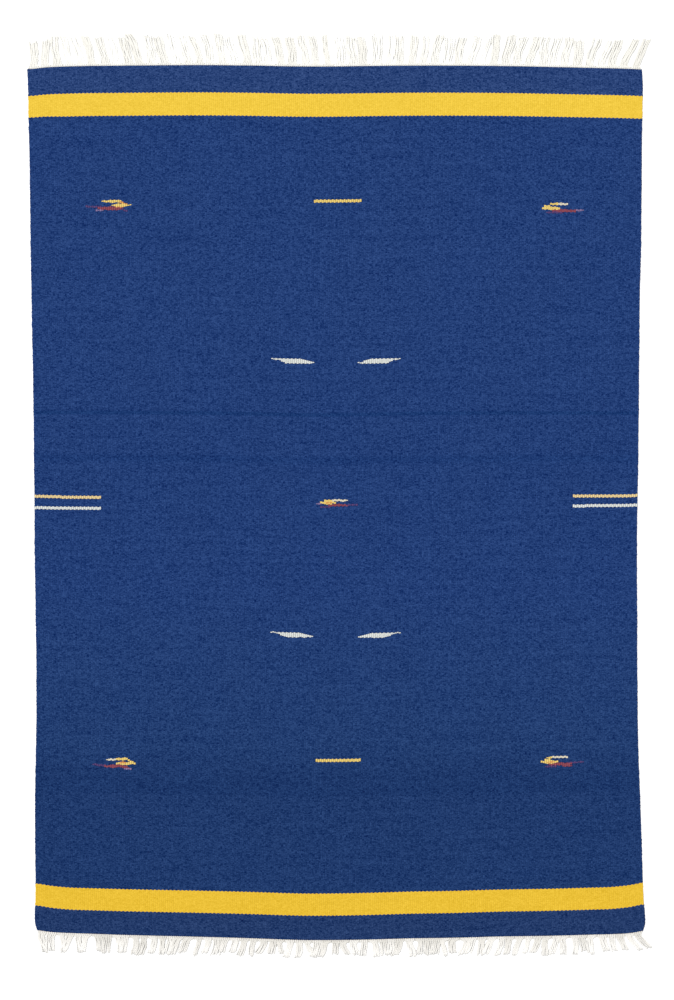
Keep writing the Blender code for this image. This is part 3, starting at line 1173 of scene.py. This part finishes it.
@dataclass(frozen=True)
class WovenFigures:
    """The small figures: extra yarns laid in over single warps, one short float at a time."""

    weave: Weave
    rise: float = 0.30 * MM
    rim_rise: float = 0.14 * MM
    overlap: float = 0.07
    hollow_fill: float = 0.6
    dome_across: int = 3
    dome_along: int = 4
    dye_margin: float = 0.1
    heather: float = 9.0
    # Painted shade in the floats' hollows, weaker than on the cloth.
    painted_shade: float = 0.08
    steps: tuple[float, ...] = (0.0, 0.3, 0.7, 1.0)

    def cells(self) -> dict[Yarn, list[tuple[int, float]]]:
        """Works out which warps each yarn covers, and at which pick.

        Returns:
            For each yarn, its floats as pairs of a warp's number and a middle pick.
        """
        covered: dict[tuple[int, float], Yarn] = {}
        for figure in FIGURES:
            before = len(covered)
            for stroke in figure.strokes:
                covered.update(self.stroke_cells(figure, stroke))
            LOG.info("%s: %d floats", figure.name, len(covered) - before)
        return {yarn: [cell for cell, its in covered.items() if its is yarn] for yarn in Yarn}

    def stroke_cells(self, figure: Figure, stroke: Stroke) -> dict[tuple[int, float], Yarn]:
        """Works out the floats of one stroke.

        Args:
            figure: the figure that it belongs to.
            stroke: the stroke.

        Returns:
            The yarn of each float, by its warp's number and middle pick.
        """
        first, last = (figure.warp + end for end in stroke.warps)
        found = {}
        for warp in range(max(0, math.floor(first)), min(self.weave.warps, math.ceil(last))):
            share = (warp + 0.5 - first) / (last - first)
            if not 0 <= share <= 1:
                continue
            line = figure.pick + stroke.picks[0] + share * (stroke.picks[1] - stroke.picks[0])
            picks = max(1, round(float(np.interp(share, (0.0, 0.5, 1.0), stroke.deep))))
            lowest = round(line - (picks - 1) / 2)
            for middle in range(lowest, lowest + picks):
                if (middle + warp) % 2 == 1:
                    found[(warp, float(middle))] = stroke.yarn
        return found

    def floats(self, cells: list[tuple[int, float]], face: Face) -> tuple[np.ndarray, np.ndarray]:
        """Shapes one yarn's floats on one face of the cloth.

        Args:
            cells: the floats' warps and middle picks.
            face: the face that they show on.

        Returns:
            Their points, and each point's place in the weave.
        """
        weave = self.weave
        warp, pick = np.array(cells).T[:, :, None, None]
        in_rib, in_float = np.array(self.steps)[None, None, :], np.array(self.steps)[None, :, None]
        off_rib, off_float = 2 * in_rib - 1, 2 * in_float - 1
        across = (warp + (in_rib + self.overlap * off_rib) + 0 * in_float) * weave.warp_pitch
        longer = 2 * (in_float + self.overlap * off_float) - 1
        along = (pick + longer + 0 * in_rib) * weave.pick_pitch
        dome = (1 - np.abs(off_rib) ** self.dome_across) * (1 - np.abs(off_float) ** self.dome_along)
        lift = self.rim_rise + (self.rise - self.rim_rise) * np.sqrt(dome)
        lift = lift + self.hollow_fill * weave.rib(across, along)
        z = weave.face_height(face, across, along)
        z = z + lift if face is Face.UPPER else np.maximum(z - lift, 0.0)
        kept = 1 - 2 * self.dye_margin
        dyed_across = (warp + self.dye_margin + kept * in_rib) * weave.warp_pitch
        dyed_along = (pick + kept * off_float) * weave.pick_pitch
        return as_rows(*weave.spot(across, along), z), as_rows(dyed_across, dyed_along, 0.0)

    def faces(self, count: int, face: Face, first: int) -> list[list[int]]:
        """Gives the floats' faces: a domed grid each, closed underneath.

        Args:
            count: how many floats.
            face: the face of the cloth that they show on.
            first: the number of the first float's first point.

        Returns:
            The faces, as lists of point numbers.
        """
        side = len(self.steps)
        grid = np.arange(side * side).reshape(side, side)
        quads = as_rows(grid[:-1, :-1], grid[:-1, 1:], grid[1:, 1:], grid[1:, :-1])
        rim = np.concatenate((grid[0, :-1], grid[:-1, -1], grid[-1, :0:-1], grid[:0:-1, 0]))
        shell = quads.tolist() + [rim[::-1].tolist()]
        if face is Face.UNDER:
            shell = [loop[::-1] for loop in shell]
        starts = first + side * side * np.arange(count)
        return [[start + number for number in loop] for start in starts.tolist() for loop in shell]

    def build(self) -> list[bpy.types.Object]:
        """Makes one piece for each yarn.

        Returns:
            The finished pieces.
        """
        pieces = []
        for yarn, cells in self.cells().items():
            tops, top_places = self.floats(cells, Face.UPPER)
            backs, back_places = self.floats(cells, Face.UNDER)
            loops = self.faces(len(cells), Face.UPPER, 0)
            loops += self.faces(len(cells), Face.UNDER, len(tops))
            shade = yarn.name.lower()
            finish = WoolFinish(
                f"{shade}_wool", self.weave, yarn.value, heather=self.heather, painted_shade=self.painted_shade
            )
            points = np.concatenate((tops, backs))
            piece = mesh_object(f"{shade}_figures", points, loops, finish.build())
            set_values(piece, WEAVE_PLACE, np.concatenate((top_places, back_places)))
            pieces.append(piece)
        return pieces


@dataclass(frozen=True)
class FringeSizes:
    """How one end's warp ends lie in their tufts, and their cotton: its bleached and natural shades
    as seen, 0 to 255, and the tones of its pieces between them, from 0, bleached, to 1, natural.
    The values are the head's, and the foot has its own."""

    end: Edge = Edge.HEAD
    seed: int = 11
    tufts: int = 52
    yarn_spacing: float = 3.1 * MM
    tip_spacing: float = 3.5 * MM
    tuft_shift: float = 1.8 * MM
    tuft_spread: float = 0.15
    sections: int = 20
    fibres: int = 2
    bleached: Shade = (234.0, 233.0, 229.0)
    natural: Shade = (218.0, 216.0, 209.0)
    tone: float = 0.50
    tip_tone: float = 0.0
    corner_tone: float = 0.4
    twining_tone: float = 0.3


HEAD_SIZES = FringeSizes()
FOOT_SIZES = FringeSizes(
    end=Edge.FOOT,
    seed=23,
    tufts=66,
    yarn_spacing=3.2 * MM,
    tip_spacing=3.6 * MM,
    tuft_shift=3.4 * MM,
    tuft_spread=0.30,
    sections=15,
    fibres=5,
    bleached=(225.0, 223.0, 219.0),
    natural=(199.0, 196.0, 189.0),
    # At the foot the yarns are greyest near the cloth and grow paler towards their tips.
    tone=0.85,
    tip_tone=-0.8,
    corner_tone=0.0,
    twining_tone=0.8,
)


@dataclass(frozen=True)
class TwinedRows:
    """Two rows of two-strand twining that hold the warp ends close to the cloth."""

    weave: Weave
    sizes: FringeSizes
    finish: bpy.types.Material
    rows: int = 2
    strands: int = 2
    row_pitch: float = 3.3 * MM
    first_row: float = 1.9 * MM
    strand_radius: float = 0.85 * MM
    orbit: float = 0.80 * MM
    inset: float = 2.5 * MM
    stray: float = 0.25 * MM
    stray_turn: float = 61.0
    steps_per_warp: int = 4
    sides: int = 6

    def build(self) -> bpy.types.Object:
        """Makes the twined rows.

        Returns:
            The finished rows, as one piece.
        """
        weave, end = self.weave, self.sizes.end
        sections = weave.warps * self.steps_per_warp + 1
        share = np.linspace(self.inset, weave.width - self.inset, sections) / weave.width
        x, edge = weave.plan.place(share, np.full(sections, end.share))
        paths = []
        for row in range(self.rows):
            turn = (-1) ** row * math.pi * share * weave.warps
            stray = self.stray * np.sin(self.stray_turn * x + row)
            for strand in range(self.strands):
                angle = turn + TURN * strand / self.strands
                out = self.first_row + self.row_pitch * row + self.orbit * np.cos(angle) + stray
                rise = self.strand_radius + self.orbit * (1 + np.sin(angle))
                paths.append(as_rows(x, edge + end.outwards * out, rise))
        radii = np.full((len(paths), sections), self.strand_radius)
        tubes = Tubes(np.array(paths), radii, self.sides)
        return cotton_piece(f"{end.value}_twining", tubes, self.finish, self.sizes.twining_tone)


@dataclass(frozen=True)
class WarpFringe:
    """One end's fringe: each warp end a loosely twisted yarn of three plies, lying in its tuft.

    The sizes named with mm at their end are lowest and highest values in millimetres.
    """

    weave: Weave
    sizes: FringeSizes
    finish: bpy.types.Material
    held: float = 7.5 * MM
    gather: float = 11.0 * MM
    curve: float = 1.3
    lean_unevenness: float = 5.0 * MM
    tuft_unevenness: float = 4.0 * MM
    yarn_unevenness: float = 2.4 * MM
    fan_unevenness: float = 1.1 * MM
    yarn_wave: Limits = (22 * MM, 46 * MM)
    yarn_sway_mm: Limits = (0.2, 0.8)
    tuft_wave: Limits = (55 * MM, 100 * MM)
    tuft_sway: float = 1.7 * MM
    layer_mm: Limits = (0.0, 0.8)
    plies: int = 3
    ply_radius: float = 1.45 * MM
    ply_orbit: float = 0.60 * MM
    twist_pitch: float = 16.0 * MM
    loose_from: float = 0.45
    loose_orbit: float = 1.2 * MM
    loose_widening: float = 1.5
    tip_thinning: float = 0.45
    thinning_late: int = 3
    sides: int = 5
    tuft_tone_unevenness: float = 0.35
    yarn_tone_unevenness: float = 0.08
    corner_x: float = 0.66
    corner_fade: float = 0.02
    fibre_radius: float = 0.17 * MM
    fibre_start: float = 0.15
    fibre_sections: int = 9
    fibre_sides: int = 3
    fibre_spread: float = 2.6 * MM
    fibre_root_spread: float = 0.5
    fibre_curl_mm: Limits = (0.4, 1.2)
    fibre_turns: Limits = (1.0, 2.5)
    fibre_stretch_mm: Limits = (-3.0, 4.0)
    fibre_height_mm: Limits = (0.0, 3.2)

    def yarn_lines(self) -> tuple[np.ndarray, np.ndarray, np.ndarray]:
        """Lays each warp end's own line from the cloth to its tip.

        Returns:
            The lines' points, how far along its line each lies, from 0 to 1, and each line's x at
            the cloth.
        """
        weave, sizes = self.weave, self.sizes
        draws = np.random.default_rng(sizes.seed)
        warps, tufts = weave.warps, sizes.tufts
        number = np.arange(warps)
        tuft = number * tufts // warps
        end = np.full(warps, sizes.end.share)
        root_x, edge = weave.plan.place((number + 0.5) / warps, end)
        tuft_x, _ = weave.plan.place((tuft + 0.5) / tufts, end)
        members = np.bincount(tuft, minlength=tufts)[tuft]
        rank = number - np.searchsorted(tuft, tuft) - (members - 1) / 2

        lean = read_rows(LIE, f"{sizes.end.value}_lean", tuft_x)
        lean = lean + draws.normal(0, self.lean_unevenness, tufts)[tuft]
        length = read_rows(LIE, f"{sizes.end.value}_length", tuft_x) + self.held
        length = length + draws.uniform(-1, 1, tufts)[tuft] * self.tuft_unevenness
        length = length + draws.uniform(-1, 1, warps) * self.yarn_unevenness
        shift = draws.normal(0, sizes.tuft_shift, tufts)
        shift[[0, -1]] = 0.0
        rank = rank * (1 + sizes.tuft_spread * draws.uniform(-1, 1, tufts)[tuft])
        fan = rank * (sizes.tip_spacing - sizes.yarn_spacing)
        fan = fan + draws.normal(0, self.fan_unevenness, warps)

        run = np.linspace(0, 1, sizes.sections)[None, :]
        out = run * length[:, None]
        free = np.clip((out - self.held) / (length[:, None] - self.held), 0, 1)
        gathered = ease(np.clip(out / self.gather, 0, 1))
        packed_x = (tuft_x + shift[tuft] + rank * sizes.yarn_spacing)[:, None]
        x = root_x[:, None] * (1 - gathered) + packed_x * gathered
        x = x + lean[:, None] * free**self.curve + fan[:, None] * free
        wave, start, sway = (
            draws.uniform(*limits, warps)[:, None]
            for limits in (self.yarn_wave, (0, TURN), self.yarn_sway_mm)
        )
        x = x + sway * MM * gathered * np.sin(TURN * out / wave + start)
        tuft_wave, tuft_start = (
            draws.uniform(*limits, tufts)[tuft][:, None] for limits in (self.tuft_wave, (0, TURN))
        )
        x = x + self.tuft_sway * gathered * np.sin(TURN * out / tuft_wave + tuft_start)
        y = edge[:, None] + sizes.end.outwards * out
        layer = draws.uniform(*self.layer_mm, warps)[:, None] * MM
        rise = layer * gathered * np.abs(np.sin(math.pi * free + start))
        z = self.ply_radius + self.ply_orbit + rise
        return np.stack((x, y, z), axis=-1), np.broadcast_to(run, x.shape), root_x

    def build(self) -> bpy.types.Object:
        """Makes the fringe.

        Returns:
            The finished fringe, as one piece.
        """
        draws = np.random.default_rng(self.sizes.seed + 1)
        lines, run, root_x = self.yarn_lines()
        distance = run_along(lines)
        loose = np.clip((run - self.loose_from) / (1 - self.loose_from), 0, 1)
        start = draws.uniform(0, TURN, (len(lines), 1))
        orbit = self.ply_orbit + (self.loose_orbit - self.ply_orbit) * loose**self.loose_widening
        paths = []
        for ply in range(self.plies):
            angle = start + TURN * (distance / self.twist_pitch + ply / self.plies)
            shift = np.stack((np.cos(angle), 0 * angle, np.sin(angle)), axis=-1)
            path = lines + orbit[..., None] * shift
            path[..., 2] = np.maximum(path[..., 2], self.ply_radius)
            paths.append(path)
        radii = self.ply_radius * (1 - self.tip_thinning * loose**self.thinning_late)
        tubes = Tubes(np.concatenate(paths), np.tile(radii, (self.plies, 1)), self.sides)
        tones = self.yarn_tones(root_x)[:, None] + self.sizes.tip_tone * run
        tones = np.tile(tones, (self.plies, 1))
        return cotton_piece(f"{self.sizes.end.value}_fringe_yarns", tubes, self.finish, tones)

    def yarn_tones(self, root_x: np.ndarray) -> np.ndarray:
        """Gives each yarn's tone, 0 for bleached white and 1 for natural cotton.

        Args:
            root_x: where each yarn leaves the cloth.

        Returns:
            One tone for each yarn.
        """
        sizes = self.sizes
        draws = np.random.default_rng(sizes.seed + 2)
        tuft = np.arange(len(root_x)) * sizes.tufts // len(root_x)
        uneven_tuft, uneven_yarn = self.tuft_tone_unevenness, self.yarn_tone_unevenness
        tone = sizes.tone + draws.uniform(-uneven_tuft, uneven_tuft, sizes.tufts)[tuft]
        tone = tone + draws.uniform(-uneven_yarn, uneven_yarn, len(root_x))
        right_corner = np.clip((root_x - self.corner_x) / self.corner_fade, 0, 1)
        return np.clip(tone + sizes.corner_tone * right_corner, 0, 1)

    def build_fibres(self) -> bpy.types.Object:
        """Makes the fine fibres that have worked loose between the yarns.

        Returns:
            The finished fibres, as one piece.
        """
        sizes = self.sizes
        draws = np.random.default_rng(sizes.seed + 3)
        lines, _, root_x = self.yarn_lines()
        picked = np.linspace(0, lines.shape[1] - 1, self.fibre_sections).round().astype(int)
        picked = picked[picked >= lines.shape[1] * self.fibre_start]
        paths = np.repeat(lines[:, picked], sizes.fibres, axis=0)
        count, sections, _ = paths.shape
        run = np.linspace(0, 1, sections)[None, :]
        widening = self.fibre_root_spread + (1 - self.fibre_root_spread) * run
        bend = draws.normal(0, self.fibre_spread, (count, 1)) * widening
        every = (
            self.fibre_curl_mm, self.fibre_turns, (0, TURN), self.fibre_stretch_mm, self.fibre_height_mm
        )
        curl, turns, start, stretch, height = (
            draws.uniform(*limits, (count, 1)) for limits in every
        )
        paths[..., 0] += bend + curl * MM * np.sin(TURN * turns * run + start)
        paths[..., 1] += sizes.end.outwards * (stretch * MM) * run
        paths[..., 2] = self.fibre_radius + height * MM * np.abs(np.sin(math.pi * run + start))
        tubes = Tubes(paths, np.full((count, sections), self.fibre_radius), self.fibre_sides)
        tones = np.repeat(self.yarn_tones(root_x), sizes.fibres)[:, None] + sizes.tip_tone * run
        return cotton_piece(f"{sizes.end.value}_fringe_fibres", tubes, self.finish, tones)


@dataclass(frozen=True)
class Studio:
    """A pale floor, soft light and a camera straight above the rug."""

    camera_height: float = 6.0
    seen_height: float = 2.308
    sensor: float = 36.0
    camera_x: float = 2.3 * MM
    camera_y: float = 3.2 * MM
    camera_reach: float = 100.0
    floor_size: float = 80.0
    floor_shades: tuple[Shade, Shade] = ((0.93, 0.93, 0.93), (0.95, 0.95, 0.95))
    floor_mottling: float = 9.0
    floor_relief: float = 0.02 * MM
    sky: float = 0.85
    lamp: float = 2.4
    lamp_softness: float = math.radians(38)
    lamp_tilt: float = math.radians(32)
    lamp_turn: float = math.radians(35)

    def floor_finish(self) -> bpy.types.Material:
        """Makes the floor's pale, slightly mottled paint.

        Returns:
            The finished material.
        """
        desk = NodeDesk("pale_floor_paint")
        place = desk.add("ShaderNodeTexCoord", {}).outputs["Object"]
        mottling = desk.cloud(place, detail=2.0, scale=self.floor_mottling)
        colour = desk.mix("MIX", mottling, *self.floor_shades)
        return desk.surface(
            colour, mottling, self.floor_relief, roughness=0.9, gloss=0.2, sheen=0.0
        )

    def build(self) -> None:
        """Makes the floor, the lights and the camera."""
        half = self.floor_size / 2
        corners = half * np.array([(-1.0, -1.0, 0.0), (1.0, -1.0, 0.0), (1.0, 1.0, 0.0), (-1.0, 1.0, 0.0)])
        floor = mesh_object("floor", corners, [[0, 1, 2, 3]], self.floor_finish())

        world = bpy.data.worlds.new("soft_sky")
        world.use_nodes = True
        background = world.node_tree.nodes["Background"]
        background.inputs["Color"].default_value = (1.0, 1.0, 1.0, 1.0)
        background.inputs["Strength"].default_value = self.sky
        bpy.context.scene.world = world

        lamp = bpy.data.lights.new("soft_lamp", "SUN")
        lamp.energy = self.lamp
        lamp.angle = self.lamp_softness
        tilt = (self.lamp_tilt, 0.0, self.lamp_turn + math.pi)
        put_in_scene("soft_lamp", lamp).rotation_euler = tilt

        lens = bpy.data.cameras.new("camera")
        lens.sensor_fit = "VERTICAL"
        lens.sensor_height = self.sensor
        lens.lens = self.camera_height * self.sensor / self.seen_height
        lens.clip_end = self.camera_reach
        camera = put_in_scene("camera", lens)
        camera.location = (self.camera_x, self.camera_y, self.camera_height)
        bpy.context.scene.camera = camera
        bpy.context.scene.view_settings.view_transform = "Standard"


@dataclass(frozen=True)
class KilimRug:
    """The whole rug, put together from its pieces."""

    weave: Weave

    def dress(self) -> list[bpy.types.Object]:
        """Builds every piece, hangs each on the rug's root body and logs how many triangles it has.

        Returns:
            All the pieces.
        """
        wool = WoolFinish("blue_and_yellow_wool", self.weave, stops=GROUND, bands=BANDS)
        cloth = WovenCloth(self.weave, wool).build()
        cloth_wool = cloth.data.materials[0]
        trims = [Selvedge(self.weave, side, cloth_wool).build() for side in (Edge.LEFT, Edge.RIGHT)]
        trims += WovenFigures(self.weave).build()
        twinings, yarns, fibres = [], [], []
        for sizes in (HEAD_SIZES, FOOT_SIZES):
            name = f"{sizes.end.value}_cotton"
            cotton = CottonFinish(name, sizes.bleached, sizes.natural).build()
            twinings.append(TwinedRows(self.weave, sizes, cotton).build())
            fringe = WarpFringe(self.weave, sizes, cotton)
            yarns.append(fringe.build())
            fibres.append(fringe.build_fibres())
        trims += [*twinings, *fibres]
        head, foot = yarns

        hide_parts("woven_rug")
        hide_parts("head_fringe")
        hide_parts("foot_fringe")
        pieces = [cloth, *trims, head, foot]
        for piece in pieces:
            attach(piece, "root")
            cotton = "twining" in piece.name or "fringe" in piece.name
            triangles = sum(len(polygon.vertices) - 2 for polygon in piece.data.polygons)
            LOG.info("%s: %d triangles", piece.name, triangles)
        return pieces


def main() -> None:
    """Dresses the rug and sets up the studio, logging how many triangles each piece of the looks has."""
    logging.basicConfig(level=logging.INFO, format="%(name)s: %(message)s")
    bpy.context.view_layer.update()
    KilimRug(Weave(RugPlan())).dress()
    Studio().build()


if __name__ == "__main__":
    main()
